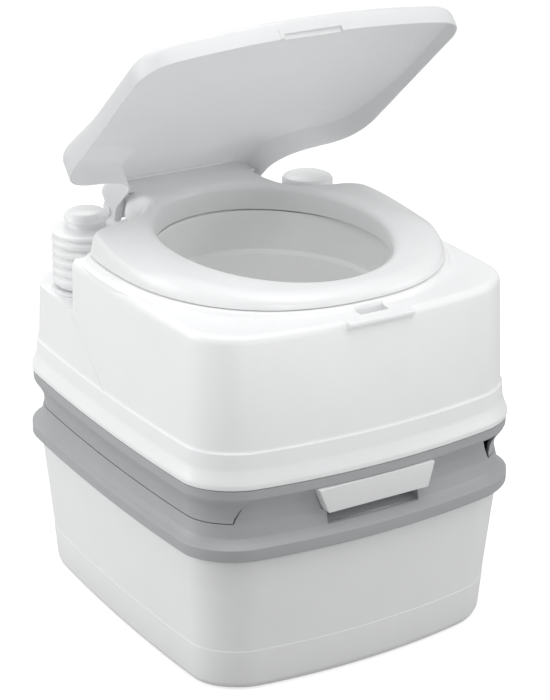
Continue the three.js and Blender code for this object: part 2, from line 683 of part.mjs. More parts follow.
// The closed lid as a full solid from z0 up, with every outside face moved inwards by inset.
function lidSolid(z0, inset) {
  const outline = lidOutline();
  const { edge, top, border, rise } = LID;
  const rim = (slope) => slab(outline, z0, edge - inset, border - inset, -inset, 3, slope);
  const rear = rim(rise).intersect(block(-200, 200, 0, 240, 280, top - 2 - inset));
  const middle = slab(outline, z0, top + 10, 0.5, -border - inset);
  return rim(0).add(rear).add(middle.intersect(crown(inset)));
}

const UNDER_LID = WALL + 2; // how far the seat lies inside the outside of the lid
const SEAT_WALL = 2.4;

// The seat as a full solid, with its top and sides moved inwards by inset.
const seatSolid = (inset) =>
  slab(seatOutline(SEAT.half, SEAT.reach, 80, 156), 340, SEAT.top - inset, inset > 0 ? 6 : 8, -inset,
    inset > 0 ? 1 : 2, SEAT.slope)
    .intersect(lidSolid(300, UNDER_LID + inset));

function seat() {
  const oval = (turn, half) => {
    const angle = 2 * Math.PI * turn;
    const depth = half > 0 ? half + 17 : 0;
    return [half * Math.sin(angle), -depth * Math.cos(angle) - 13];
  };
  const opening = swept([
    [0, 360], [113, 360], [113, 384], [115, 392], [117.6, 398.4], [122, 406], [128, 410], [0, 450],
  ], oval);
  const rim = swept([
    [0, 350], [115.6, 350], [115.6, 384], [117.6, 392], [120.4, 398.4], [120.4, 430], [0, 430],
  ], oval);
  // The space behind the seat's rear slope and over its hump, lowered by drop.
  const above = (drop) => across([
    [190, 392 - drop], [157, 394 - drop], [131.5, SEAT_HUMP - drop], [40, SEAT_HUMP - drop],
    [40, 430], [190, 430],
  ], -200, 200);
  const under = seatSolid(SEAT_WALL)
    .subtract(rim).subtract(above(SEAT_WALL + 0.6));
  let body = seatSolid(0)
    .subtract(above(0)).subtract(under).subtract(opening)
    .subtract(block(-200, 200, -200, 200, 300, SEAT.bottom));
  [-1, 1].forEach((side) => {
    const [x0, x1] = [side * SEAT_LUG.inner, side * SEAT_LUG.outer].sort((a, b) => a - b);
    body = body
      .add(block(x0, x1, 154, HINGE.y, HINGE.z, HINGE.z + HINGE.barrel))
      .add(rod(x0, x1, HINGE.y, HINGE.z, HINGE.barrel))
      .subtract(rod(x0 - 1, x1 + 1, HINGE.y, HINGE.z, HINGE.bore, 12));
  });
  return toHinge(body);
}

const BUMPERS = [[-128, -80], [128, -80], [-142, 62], [142, 62]];

function lid() {
  const wedge = (lower) => across([
    [165.5, 394 - lower], [131, LID.top - lower], [131, 440], [200, 440], [200, 394 - lower],
  ], -100, 100);
  const outer = lidSolid(340, 0).subtract(wedge(0));
  const inner = lidSolid(330, WALL).subtract(wedge(WALL));
  let body = outer.subtract(inner)
    .subtract(block(-200, 200, -220, 200, 320, LID.bottom))
    .subtract(block(-ARM.inner, ARM.inner, 140, 180, 360, 391.6));
  [-1, 1].forEach((side) => {
    const [x0, x1] = [side * ARM.inner, side * ARM.outer].sort((a, b) => a - b);
    body = body
      .add(across([[158, LID.bottom], [HINGE.y, 367], [HINGE.y, 393], [158, 397]], x0, x1))
      .add(rod(x0, x1, HINGE.y, HINGE.z, ARM.radius))
      .subtract(rod(x0 - 1, x1 + 1, HINGE.y, HINGE.z, HINGE.bore, 12));
  });
  const fingerRecess = block(-40, 24, -200, -170, 370, 381);
  return toHinge(body.subtract(fingerRecess));
}

// ---------------------------------------------------------------- assembly

const toilet = new THREE.Group();

const waste = new THREE.Group();
const vent = ventParts();
waste.add(
  piece('lower_tank', lowerTank(), WHITE()),
  piece('lower_collar', lowerCollar(), GREY()),
  ...valveBodies(),
  piece('valve_seal', turned([
    [OUTLET - 1, VALVE.top + GAP], [OUTLET + 6, VALVE.top + GAP], [OUTLET + 4.4, 203.6],
    [OUTLET + 1, 203.6], [OUTLET + 1.6, 199], [OUTLET - 1, 198.6],
  ], 0, 0, 32), RUBBER()),
  ...valveSlider(),
  spoutParts(),
  piece('spout_seal', turned([
    [SPOUT.radius + 1, TANK_TOP + GAP], [20, TANK_TOP + GAP], [20, 175], [SPOUT.radius + 1, 175],
  ], SPOUT.x, SPOUT.y), RUBBER()),
  piece('spout_cap', spoutCap(), GREY()),
  piece('spout_cap_seal', spoutCapSeal(), RUBBER()),
  piece('vent_button', vent.button, BLACK()),
  piece('vent_seal', vent.poppet, RUBBER()),
  piece('vent_spring', vent.spring, STEEL()),
);
toilet.add(waste);

// The rear latch stands released, tipped back about its pin.
const latch = new THREE.Group();
const [lever, latchPin] = latchParts();
lever.geometry.translate(0, -LATCH.y, -LATCH.z);
latch.position.set(0, LATCH.y, LATCH.z);
latch.rotation.x = THREE.MathUtils.degToRad(-LATCH.open);
latch.add(lever);
toilet.add(latch, latchPin);

const flush = new THREE.Group();
const pump = pumpParts();
const fill = fillParts();
flush.add(
  piece('upper_tank', upperTank(), WHITE()),
  piece('upper_collar', upperCollar(), GREY()),
  piece('bowl', bowl(), LIGHT_GREY()),
  piece('bowl_gasket', bowlGasket(), RUBBER()),
  piece('pump_base', pump.base, LIGHT_GREY()),
  piece('pump_bellows', pump.bellows, WHITE()),
  piece('pump_knob', pump.knob, LIGHT_GREY()),
  piece('intake_tube', pump.intake, OFF_WHITE()),
  piece('intake_valve', pump.intakeValve, RUBBER()),
  piece('outlet_valve', pump.outletValve, RUBBER()),
  piece('fill_neck', fill.spigot, WHITE()),
  piece('fill_cap_seal', fill.seal, RUBBER()),
  piece('fill_cap', fill.cover, LIGHT_GREY()),
  ...rinseParts(),
  ...hingeParts(),
  ...COLLAR_SCREWS.map(([x, y], index) =>
    screw(`collar_screw_${index + 1}`, x, y, 221 - GAP, 1, 12)),
);
toilet.add(flush);

// The seat lies down, and the lid stands part open.
const seatGroup = new THREE.Group();
seatGroup.position.set(0, HINGE.y, HINGE.z);
seatGroup.add(piece('seat', seat(), OFF_WHITE()));
BUMPERS.forEach(([x, y], index) => {
  const bumper = post(x, y, 6, PLINTH_TOP + GAP, 400, 12).intersect(seatSolid(SEAT_WALL + GAP));
  seatGroup.add(piece(`seat_bumper_${index + 1}`, toHinge(bumper), RUBBER()));
});
toilet.add(seatGroup);

const lidGroup = new THREE.Group();
lidGroup.position.set(0, HINGE.y, HINGE.z);
lidGroup.rotation.x = THREE.MathUtils.degToRad(-LID_OPEN);
lidGroup.add(piece('lid', lid(), WHITE()));
toilet.add(lidGroup);

export default toilet;
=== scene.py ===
"""Portable camp toilet: fine moulded surfaces, materials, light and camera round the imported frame.

Shapes are worked out in millimetres, +Z up, front towards -Y, and turned into metres as each mesh is
made. The main outlines and heights are those of the CAD model. Edges are rounded, and small features
are made finer, here. A corner listed as (a, b, radius) is rounded by that radius.
"""
import math

import bmesh
import bpy
import numpy as np
from mathutils import Matrix, Vector


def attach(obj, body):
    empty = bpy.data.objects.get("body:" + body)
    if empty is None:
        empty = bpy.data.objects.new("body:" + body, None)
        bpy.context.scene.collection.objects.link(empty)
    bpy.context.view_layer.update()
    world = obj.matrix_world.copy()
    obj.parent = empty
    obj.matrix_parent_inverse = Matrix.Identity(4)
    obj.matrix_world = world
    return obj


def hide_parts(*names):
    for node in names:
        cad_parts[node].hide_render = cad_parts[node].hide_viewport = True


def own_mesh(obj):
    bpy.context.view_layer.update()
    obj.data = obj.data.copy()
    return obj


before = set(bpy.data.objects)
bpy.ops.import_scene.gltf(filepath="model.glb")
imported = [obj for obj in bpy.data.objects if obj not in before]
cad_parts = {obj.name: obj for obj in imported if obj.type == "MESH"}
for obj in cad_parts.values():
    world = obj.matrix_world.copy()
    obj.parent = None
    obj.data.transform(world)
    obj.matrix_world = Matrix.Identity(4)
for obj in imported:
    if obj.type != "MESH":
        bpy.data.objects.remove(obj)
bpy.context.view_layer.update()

# ---------------------------------------------------------------- driving dimensions, millimetres

MM = 0.001
AROUND = 256  # points round each outline
ARC_STEP = math.radians(11)  # turn between two points of a rounded corner
FAR = 240  # beyond every side, for cuts that run out of the object
CORE = 150  # half width that lies inside every wall, where the flat ends close
CAD_EDGE = 0.4  # rounding of the edges of carried-over nodes

# Body outline: a rounded rectangle whose sides bow outwards.
WIDEST = 193  # half width at the flange of the waste section
EXTRA_DEPTH = 22  # half depth minus half width
CORNER = 56
BOW_SIDE, BOW_FRONT, BOW_REAR = 10, 23, 6

# The two sections, from the floor up.
WALL = 1.9
LEDGE = 44.4  # fine step round the waste tank
FLANGE_LOW, FLANGE_HIGH = 151, 163.6  # outer band of the collar on the waste tank
TANK_TOP = 172
DECK = TANK_TOP + 0.3  # underside of that collar, where it lies on the tank
SEAM = 185  # joint between the two grey collars
WAIST_TOP = 212  # top of the front wall under the flush tank
SKIRT_TOP = 223.7
UPPER_BOTTOM = 224
UPPER_FOOT, UPPER_SHOULDER = 262, 366  # ends of the flush tank's straight wall
UPPER_TOP = 373
PLINTH_TOP = 378.4

# Hinge, seat and closed lid.
HINGE_Y, HINGE_Z, HINGE_BORE = 178.5, 380, 3.6
SEAT_HALF, SEAT_REACH, SEAT_CENTRE, SEAT_POWER = 169, 187, 10, 2.3
SEAT_BOTTOM, SEAT_TOP, SEAT_SLOPE, SEAT_HUMP = 379.2, 404.7, 0.07, 409.5
SEAT_WALL, SEAT_NECK, SEAT_END = 2.4, 80, 170
SEAT_UNDER_LID = 1.8  # least gap from the seat to the closed lid
LUG_INNER, LUG_OUTER, LUG_RADIUS = 60, 74.5, 9
HOOD_RADIUS, HOOD_HALF, HOOD_FRONT, HOOD_END = 29, 75.6, 148, 187.4
HOLE_HALF, HOLE_LONGER, HOLE_CENTRE = 113, 20, -10
LID_RIM, LID_EDGE, LID_TOP, LID_BORDER = 376, 399, 414, 12
LID_HALF, LID_FRONT, LID_END = 178, -188.4, 179.6
LID_OPEN = 41.4  # degrees from closed
ARM_INNER, ARM_OUTER, ARM_RADIUS = 76.3, 85, 13
CATCH_LEFT, CATCH_RIGHT = -46, 25

# Pump, filler, spout, vent and latch.
PUMP_X, PUMP_Y, PUMP_SHELF, PUMP_TOP, PUMP_TRAVEL = -135, 133, 320, 405, 45
PUMP_RIDGE, PUMP_VALLEY, PUMP_PITCH, PUMP_FOLDS = 36, 32, 10, 6
FILL_X, FILL_Y, FILL_SHELF, FILL_TOP, FILL_RADIUS = 140, 145, 352, 396.5, 27.5
SPOUT_X, SPOUT_Y = -120, 165
VENT_X, VENT_Y, VENT_TRAVEL = 62, 158, 4
OUTLET_HOLE, SPOUT_HOLE, VENT_HOLE, PUMP_HOLE, FILL_HOLE = 48, 15.7, 4.6, 19, 17
LATCH_X, LATCH_HALF, LATCH_Y, LATCH_Z = 70, 18, 211, 179

# Pull handle, its pocket, and the cutout in the front of the upper collar.
HANDLE_LEFT, HANDLE_RIGHT, HANDLE_BOTTOM, HANDLE_TOP = -72, 61, 187, 213
HANDLE_FACE, HANDLE_BACK = -213.4, -194
POCKET_LEFT, POCKET_RIGHT, POCKET_BACK = -57, 48, -178
CUTOUT_LEFT, CUTOUT_RIGHT, CUTOUT_LEAN = -150.5, 148, 0.39
FRONT_WALL_LEFT, FRONT_WALL_RIGHT, FRONT_WALL_LEAN = -148.7, 146, 0.5

# Camera, in degrees, millimetres and metres.
VIEW_AZIMUTH, VIEW_ELEVATION, VIEW_ROLL = -31.77, 21.97, 0.34
VIEW_TARGET, VIEW_DISTANCE = (3.23, -1.99, 264.65), 2.3022
LENS, SENSOR, SHIFT = 115.8, 36, (0.0066, 0.0037)


# ---------------------------------------------------------------- curves

def arcs(points, closed=False):
    """A polyline from corners listed as (a, b) or (a, b, radius), each corner with a radius rounded."""
    result = []
    last = len(points) - 1
    for k, (a, b, *radius) in enumerate(points):
        here = np.array((a, b), float)
        if not radius or (not closed and k in (0, last)):
            result.append(here)
            continue
        before = np.array(points[k - 1][:2], float) - here
        after = np.array(points[(k + 1) % len(points)][:2], float) - here
        far_before, far_after = np.linalg.norm(before), np.linalg.norm(after)
        cosine = before @ after / (far_before * far_after)
        turn = math.pi - math.acos(max(-1, min(1, cosine)))
        reach = min(radius[0] * math.tan(turn / 2), 0.48 * far_before, 0.48 * far_after)
        start = here + before * reach / far_before
        end = here + after * reach / far_after
        steps = max(2, math.ceil(turn / ARC_STEP))
        for step in range(steps + 1):
            t = step / steps
            result.append((1 - t) ** 2 * start + 2 * t * (1 - t) * here + t * t * end)
    return np.array(result)


def trace(start, *legs, steps=24):
    """Points along lines (one point), quadratic (two) and cubic (three) curves, end to end."""
    points = [np.array(start, float)]
    for leg in legs:
        control = [points[-1]] + [np.array(point, float) for point in leg]
        degree = len(control) - 1
        for step in range(1, steps + 1) if degree > 1 else (steps,):
            t = step / steps
            points.append(sum(
                math.comb(degree, k) * (1 - t) ** (degree - k) * t ** k * point
                for k, point in enumerate(control)))
    return np.array(points)


def even(points, count):
    """The same polyline with count equal steps."""
    lengths = np.linalg.norm(np.diff(points, axis=0), axis=1)
    along = np.concatenate(([0], np.cumsum(lengths)))
    wanted = np.linspace(0, along[-1], count + 1)
    return np.stack([np.interp(wanted, along, points[:, k]) for k in (0, 1)], axis=1)


def mirrored(half):
    """A closed outline, anticlockwise from the front middle, from its half on the +X side."""
    other = half[-2:0:-1] * (-1, 1)
    return np.concatenate((half, other))


def outward(outline):
    """Unit vectors pointing out of a closed anticlockwise outline."""
    along = np.roll(outline, -1, axis=0) - np.roll(outline, 1, axis=0)
    across = np.stack((along[:, 1], -along[:, 0]), axis=1)
    return across / np.linalg.norm(across, axis=1, keepdims=True)


def distance(points, outline):
    """Shortest distance from each point to a closed outline."""
    flat = points.reshape(-1, points.shape[-1])[:, :2]
    nearest = np.full(len(flat), 1e9)
    for start, end in zip(outline, np.roll(outline, -1, axis=0)):
        side = end - start
        share = np.clip((flat - start) @ side / (side @ side), 0, 1)
        away = flat - start - share[:, None] * side
        nearest = np.minimum(nearest, np.hypot(away[:, 0], away[:, 1]))
    return nearest.reshape(points.shape[:-1])


def round_drop(gap, radius):
    """How far a rounded edge of this radius lies below the flat, at a gap in from its side."""
    inside = np.clip(radius - gap, 0, radius)
    return radius - np.sqrt(radius ** 2 - inside ** 2)


def ease(value, low, high):
    """0 below low, 1 above high, smooth between."""
    t = np.clip((value - low) / (high - low), 0, 1)
    return t * t * (3 - 2 * t)


def soft_min(a, b, width):
    """The lower of two surfaces, blended over a width where they meet."""
    h = np.clip(0.5 + 0.5 * (b - a) / width, 0, 1)
    return b + (a - b) * h - width * h * (1 - h)


# ---------------------------------------------------------------- outlines

def body_plan(turn, half):
    """Point of the body outline at a fraction of a turn, anticlockwise from the front middle."""
    depth = half + EXTRA_DEPTH * min(1, half / 120)
    corner = CORNER * half / WIDEST
    quarter = int(turn * 4) % 4
    along = turn * 4 - int(turn * 4)
    u = along if quarter % 2 == 0 else 1 - along
    x, y = half, depth
    if u < 0.25:
        x = (half - corner) * 4 * u
    elif u > 0.75:
        y = (depth - corner) * 4 * (1 - u)
    else:
        angle = (u - 0.25) * math.pi
        x = half - corner + corner * math.sin(angle)
        y = depth - corner + corner * math.cos(angle)
    front = quarter in (0, 3)
    scale = half / WIDEST
    bow = BOW_FRONT if front else BOW_REAR
    bowed_x = x - BOW_SIDE * scale * (y / depth) ** 2 * (x / half) ** 4
    bowed_y = y - bow * scale * (x / half) ** 2 * (y / depth) ** 4
    return (bowed_x if quarter < 2 else -bowed_x, -bowed_y if front else bowed_y)


def oval_plan(turn, half):
    """Point of the bowl outline: round at the outlet, oval at the rim."""
    share = min(1, max(0, (half - 45) / (118 - 45)))
    angle = 2 * math.pi * turn
    return (half * math.sin(angle), -(half + 14 * share) * math.cos(angle) - 12 * share)


def round_plan(x, y):
    """Outlines of round pieces about the upright line through x, y."""
    def plan(turn, radius):
        angle = 2 * math.pi * turn
        return (x + radius * math.sin(angle), y - radius * math.cos(angle))
    return plan


def seat_outline(half, reach, neck, end):
    """Superellipse in front and at the sides, shoulders, and a neck to the rear."""
    angles = np.linspace(0, math.pi * 0.578, 90)
    power = 2 / SEAT_POWER
    x = half * np.abs(np.sin(angles)) ** power
    y = SEAT_CENTRE - np.sign(np.cos(angles)) * reach * np.abs(np.cos(angles)) ** power
    x1, y1 = x[-1], y[-1]
    rear = trace(
        (x1, y1), ((x1 - 6, y1 + 17), (x1 - 28, y1 + 20)),
        ((neck + 30, y1 + 22), (neck + 8, y1 + 31), (neck, y1 + 57)),
        ((neck, end - 6),), ((neck, end), (neck - 6, end)), ((0, end),))
    path = np.concatenate((np.stack((x, y), axis=1), rear[1:]))
    return mirrored(even(path, AROUND))


def lid_outline():
    """Outline of the closed lid: bowed front, rounded corners, shoulders, and a neck."""
    path = trace(
        (0, LID_FRONT), ((73, LID_FRONT), (146, -172)), ((175, -165), (LID_HALF, -134)),
        ((LID_HALF, 36),), ((LID_HALF, 68), (166, 84), (140, 88.4)),
        ((112, 92), (ARM_OUTER + 5, 98), (ARM_OUTER, 126)),
        ((ARM_OUTER, 210),), ((0, 210),))
    return mirrored(even(path, AROUND))


def lid_border(y):
    """Height of the border round the top of the closed lid."""
    return LID_EDGE + 9 * ease(y, -50, 80) + 4 * ease(y, 75, 130)


def lid_top(flat, edge):
    """Height of the outside of the closed lid: a rounded border, then a shallow crown."""
    gap = distance(flat, edge)
    y = flat[..., 1] - 10
    y = np.where(y > 0, y / 1.7, y) * 0.88
    level = (np.abs(flat[..., 0]) ** 5 + np.abs(y) ** 5) ** 0.2
    rise = 1 - (1 - np.clip((166 - level) / 126, 0, 1)) ** 2
    border = lid_border(flat[..., 1])
    crown = (LID_TOP - border) * rise * ease(gap, LID_BORDER - 7, LID_BORDER + 10)
    return border - round_drop(gap, LID_BORDER) + crown


def lid_inside(flat, edge):
    """Inside of the top: a panel with a crease round it, and a border that falls to the wall."""
    crease, drop, rounding = 8, 3, 10
    gap, y = distance(flat, edge - outward(edge) * WALL), flat[:, 1]
    reach = 31 + 27 * ease(y, -40, 40) - 20 * ease(y, 75, 105)
    border = np.clip((reach - gap) / (reach - crease), 0, 1) * (1 - ease(y, 100, 130))
    height = lid_top(flat, edge) - WALL - drop * border
    corner = lid_border(y) - WALL - round_drop(gap, rounding)
    return np.where(gap < rounding, np.minimum(height, corner), height)


# ---------------------------------------------------------------- meshes

def loft(name, rings, closed=False):
    """A mesh through rings of points, from the bottom up the outside. Open ends get a flat cap."""
    rings = np.asarray(rings, float)
    count, size = rings.shape[:2]
    faces = []
    for j in range(count if closed else count - 1):
        low, high = j * size, (j + 1) % count * size
        for i in range(size):
            n = (i + 1) % size
            faces.append((low + i, low + n, high + n, high + i))
    for low, way in () if closed else ((0, -1), ((count - 1) * size, 1)):
        for i in range(size // 2):  # strips across the end, between points facing each other
            strip = dict.fromkeys((i, i + 1, size - i - 1, (size - i) % size))
            faces.append(tuple(low + k for k in strip)[::way])
    mesh = bpy.data.meshes.new(name)
    mesh.from_pydata((rings.reshape(-1, 3) * MM).tolist(), [], faces)
    made = bpy.data.objects.new(name, mesh)
    bpy.context.scene.collection.objects.link(made)
    return made


def swept(name, profile, plan=body_plan, closed=False, around=AROUND):
    """Sends a profile of (half width, height, corner radius) round an outline, anticlockwise."""
    line = arcs(profile, closed)
    rings = [[(*plan(k / around, half), height) for k in range(around)] for half, height in line]
    return loft(name, rings, closed)


def turned(name, profile, x, y, closed=False, around=96):
    """A round piece about the upright line through x, y."""
    return swept(name, profile, round_plan(x, y), closed, around)


def prism(name, outline, low, high, axis="z", edge=0.0):
    """A plate of the outline's shape, with edges rounded by edge.

    The outline lies in (x, y), (y, z) for axis x, or (x, z) for axis y."""
    points = arcs(outline, True)
    size = len(points)
    mesh = bpy.data.meshes.new(name)
    place = {
        "z": lambda a, b, c: (a, b, c),
        "x": lambda a, b, c: (c, a, b),
        "y": lambda a, b, c: (a, c, b),
    }[axis]
    vertices = [place(a, b, level) for level in (low, high) for a, b in points]
    faces = [tuple(range(size))[::-1], tuple(range(size, 2 * size))]
    faces += [(i, (i + 1) % size, (i + 1) % size + size, i + size) for i in range(size)]
    mesh.from_pydata([tuple(c * MM for c in v) for v in vertices], [], faces)
    made = bpy.data.objects.new(name, mesh)
    bpy.context.scene.collection.objects.link(made)
    edit = bmesh.new()
    edit.from_mesh(mesh)
    bmesh.ops.recalc_face_normals(edit, faces=edit.faces)
    if edge:
        sharp = [e for e in edit.edges if e.calc_face_angle(0) > math.radians(30)]
        bmesh.ops.bevel(edit, geom=sharp, offset=edge * MM, segments=3, profile=0.5,
                        affect="EDGES", clamp_overlap=True)
    edit.to_mesh(mesh)
    edit.free()
    return made


def block(name, x0, x1, y0, y1, z0, z1, edge=0.0):
    """A box between two values on each axis."""
    return prism(name, [(x0, y0), (x1, y0), (x1, y1), (x0, y1)], z0, z1, edge=edge)


def post(name, x, y, radius, z0, z1, around=64):
    """An upright cylinder."""
    return turned(name, [(radius, z0), (radius, z1)], x, y, around=around)


def rod(name, x0, x1, y, z, radius, around=64, edge=0.0):
    """A cylinder along X."""
    angles = [2 * math.pi * k / around for k in range(around)]
    circle = [(y + radius * math.cos(a), z + radius * math.sin(a)) for a in angles]
    return prism(name, circle, x0, x1, "x", edge)


def combine(body, tools, operation="DIFFERENCE"):
    """Joins tools to a body, or cuts them out of it, and removes them."""
    for tool in tools:
        step = body.modifiers.new("combine", "BOOLEAN")
        step.object = tool
        step.operation = operation
        step.solver = "MANIFOLD"
    graph = bpy.context.evaluated_depsgraph_get()
    mesh = bpy.data.meshes.new_from_object(body.evaluated_get(graph), depsgraph=graph)
    body.modifiers.clear()
    body.data = mesh
    for tool in tools:
        bpy.data.objects.remove(tool)
    return body


def join(body, *tools):
    """Adds the tools to the body."""
    return combine(body, tools, "UNION")


def cut(body, *tools):
    """Takes the tools out of the body."""
    return combine(body, tools)


def within(body, tool):
    """Keeps what the body shares with the tool."""
    return combine(body, [tool], "INTERSECT")


def smooth(piece, angle=28):
    """Smooth shading, with edges sharper than the angle left sharp."""
    edit = bmesh.new()
    edit.from_mesh(piece.data)
    bmesh.ops.remove_doubles(edit, verts=edit.verts, dist=0.02 * MM)
    for face in edit.faces:
        face.smooth = True
    for side in edit.edges:
        side.smooth = side.calc_face_angle(0) < math.radians(angle)
    edit.to_mesh(piece.data)
    edit.free()
    return piece


def settle(piece, body, material, slot, *nodes, angle=28):
    """Finishes a piece: shading, material, body it rides on, and CAD nodes that it stands for."""
    smooth(piece, angle)
    piece.data.materials.clear()
    piece.data.materials.append(material)
    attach(piece, body)
    if nodes:
        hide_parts(*nodes)
    return piece


# ---------------------------------------------------------------- materials

def moulded(name, colour, rough, grain=0.05, grain_size=0.0011, mottle=0.02, soft=0.0, sheen=0.5,
            through=0.0):
    """Moulded plastic: faint cloudiness, a fine spark-eroded grain, and slightly worn bright edges."""
    material = bpy.data.materials.new(name)
    material.use_nodes = True
    nodes, links = material.node_tree.nodes, material.node_tree.links
    shader = nodes["Principled BSDF"]
    place = nodes.new("ShaderNodeTexCoord").outputs["Object"]

    def noise(size, detail):
        node = nodes.new("ShaderNodeTexNoise")
        node.inputs["Scale"].default_value = 1 / size
        node.inputs["Detail"].default_value = detail
        links.new(place, node.inputs["Vector"])
        return node.outputs["Fac"]

    def spread(value, low, high, start=0.3, end=0.7):
        node = nodes.new("ShaderNodeMapRange")
        node.inputs["From Min"].default_value = start
        node.inputs["From Max"].default_value = end
        node.inputs["To Min"].default_value = low
        node.inputs["To Max"].default_value = high
        links.new(value, node.inputs["Value"])
        return node.outputs["Result"]

    cloud, fine = noise(0.05, 3), noise(grain_size, 2)
    edges = nodes.new("ShaderNodeNewGeometry").outputs["Pointiness"]
    tone = nodes.new("ShaderNodeMixRGB")
    tone.inputs["Color1"].default_value = (*[c * (1 - mottle) for c in colour], 1)
    tone.inputs["Color2"].default_value = (*[min(1, c * (1 + mottle)) for c in colour], 1)
    links.new(spread(cloud, 0, 1), tone.inputs["Fac"])
    worn = nodes.new("ShaderNodeMixRGB")
    worn.inputs["Color2"].default_value = (*[min(1, c * 1.06 + 0.01) for c in colour], 1)
    links.new(spread(edges, 0, 0.5, 0.52, 0.62), worn.inputs["Fac"])
    links.new(tone.outputs["Color"], worn.inputs["Color1"])
    links.new(worn.outputs["Color"], shader.inputs["Base Color"])
    links.new(spread(fine, rough - 0.04, rough + 0.04), shader.inputs["Roughness"])
    bump = nodes.new("ShaderNodeBump")
    bump.inputs["Strength"].default_value = grain
    bump.inputs["Distance"].default_value = 0.0002
    links.new(fine, bump.inputs["Height"])
    links.new(bump.outputs["Normal"], shader.inputs["Normal"])
    shader.inputs["Specular IOR Level"].default_value = sheen
    shader.inputs["Subsurface Weight"].default_value = soft
    shader.inputs["Subsurface Radius"].default_value = (0.004, 0.004, 0.004)
    if through:  # share of light that passes a thin wall
        thin, mix = nodes.new("ShaderNodeBsdfTranslucent"), nodes.new("ShaderNodeMixShader")
        links.new(worn.outputs["Color"], thin.inputs["Color"])
        mix.inputs["Fac"].default_value = through
        links.new(shader.outputs["BSDF"], mix.inputs[1])
        links.new(thin.outputs["BSDF"], mix.inputs[2])
        links.new(mix.outputs["Shader"], nodes["Material Output"].inputs["Surface"])
    return material


def rubber(name, shade):
    """Matt rubber with a dusty bloom."""
    return moulded(name, (shade, shade, shade * 1.02), 0.75, grain=0.2, mottle=0.15, sheen=0.3)


def steel(name):
    """Zinc-plated steel with fine brushing across the piece."""
    material = moulded(name, (0.62, 0.63, 0.64), 0.3, grain=0.1, grain_size=0.0006, mottle=0.05)
    material.node_tree.nodes["Principled BSDF"].inputs["Metallic"].default_value = 1
    return material


WHITE = moulded("white_plastic", (0.86, 0.865, 0.87), 0.36, mottle=0.008, soft=0.06)
GREY = moulded("grey_plastic", (0.40, 0.41, 0.42), 0.42, grain=0.12, mottle=0.02)
THIN_WHITE = moulded("thin_white_plastic", (0.86, 0.865, 0.87), 0.36, mottle=0.008, through=0.36)
BOWL_GREY = moulded("bowl_plastic", (0.86, 0.865, 0.86), 0.3, mottle=0.01)
LIGHT_GREY = moulded("light_grey_plastic", (0.82, 0.825, 0.83), 0.3, mottle=0.01)
OFF_WHITE = moulded("off_white_plastic", (0.80, 0.805, 0.81), 0.32, mottle=0.01, soft=0.05)
DARK = moulded("dark_plastic", (0.045, 0.047, 0.05), 0.45, grain=0.2, mottle=0.1)
RUBBER = rubber("rubber", 0.03)
STEEL = steel("steel")


# ---------------------------------------------------------------- waste section

def lower_tank():
    """Waste tank: tapered walls with a fine step near the floor, and holes in its top."""
    tank = swept("lower_tank_moulding", [
        (CORE, 0), (166, 0, 5), (171.6, 2.3, 6), (174, 8, 8), (176.7, LEDGE, 0.4),
        (176.3, LEDGE + 1, 0.4), (184.6, 146, 3), (182, 150.6, 2), (182, 168, 3), (178, TANK_TOP, 3),
        (CORE, TANK_TOP),
    ])
    below, above = TANK_TOP - 52, TANK_TOP + 18
    holes = [post("hole", 0, 0, OUTLET_HOLE, below, above),
             post("hole", SPOUT_X, SPOUT_Y, SPOUT_HOLE, below, above),
             post("hole", VENT_X, VENT_Y, VENT_HOLE, below, above)]
    return settle(cut(tank, *holes), "waste_section", WHITE, "white_plastic", "lower_tank")


def cutout(left, right, z0, z1, lean_right):
    """Prism across the front between two ends that lean inwards as they rise."""
    corners = [(left + CUTOUT_LEAN * (z0 - SEAM), z0), (right - lean_right * (z0 - SEAM), z0),
               (right - lean_right * (z1 - SEAM), z1), (left + CUTOUT_LEAN * (z1 - SEAM), z1)]
    return prism("cutout", corners, -FAR, -CORE, "y")


def spout_window(z0, z1):
    """Opening in the rear of a collar, along the stowed spout."""
    return block("window", SPOUT_X - 27, 12, CORE, FAR, z0, z1)


def waist_front():
    """Front wall of the waist, between the two ends of the upper collar."""
    wall = swept("wall", [
        (179, 173.6), (184.6, 173.6), (183.4, 180, 8), (181.9, 188, 8), (181.9, 198, 12),
        (183.2, 206, 12), (184.4, WAIST_TOP), (181.6, WAIST_TOP), (180.3, 205, 8), (179.2, 199, 8),
        (179.2, 187, 8),
    ], closed=True)
    ends = cutout(FRONT_WALL_LEFT, FRONT_WALL_RIGHT, 173, WAIST_TOP + 0.5, FRONT_WALL_LEAN)
    return within(wall, ends)


def pocket_frame():
    """Solid ground behind the front wall, which the handle and the finger pocket are sunk in."""
    ground = block("frame", HANDLE_LEFT - 5, HANDLE_RIGHT + 5, -202, POCKET_BACK + 3, 172.6, WAIST_TOP)
    behind = swept("behind", [
        (120, 172.6), (184.2, 173.6), (183, 180, 8), (181.5, 188, 8), (181.5, 198, 12),
        (182.8, 206, 12), (184, WAIST_TOP), (120, WAIST_TOP)])
    return within(ground, behind)


def finger_pocket():
    """Hollow under the handle, whose floor slopes down to the front."""
    profile = [(POCKET_BACK, 180, 2), (-206.6, 171), (-210.2, 166.8), (-212.8, 164.8, 1),
               (-215, 168), (-FAR, 168), (-FAR, 205), (POCKET_BACK, 205)]
    return prism("pocket", profile, POCKET_LEFT, POCKET_RIGHT, "x", 1)


def latch_ears():
    """Two ears at the rear that hold the pin of the latch."""
    profile = [(200, 172.6), (206, 172.6), (207.6, 168), (214, 172, 2), (214, 182, 2.5), (200, 182, 2)]
    apart, half = LATCH_HALF + 2.2, 1.8
    return [prism("ear", profile, x - half, x + half, "x") for x in (LATCH_X - apart, LATCH_X + apart)]


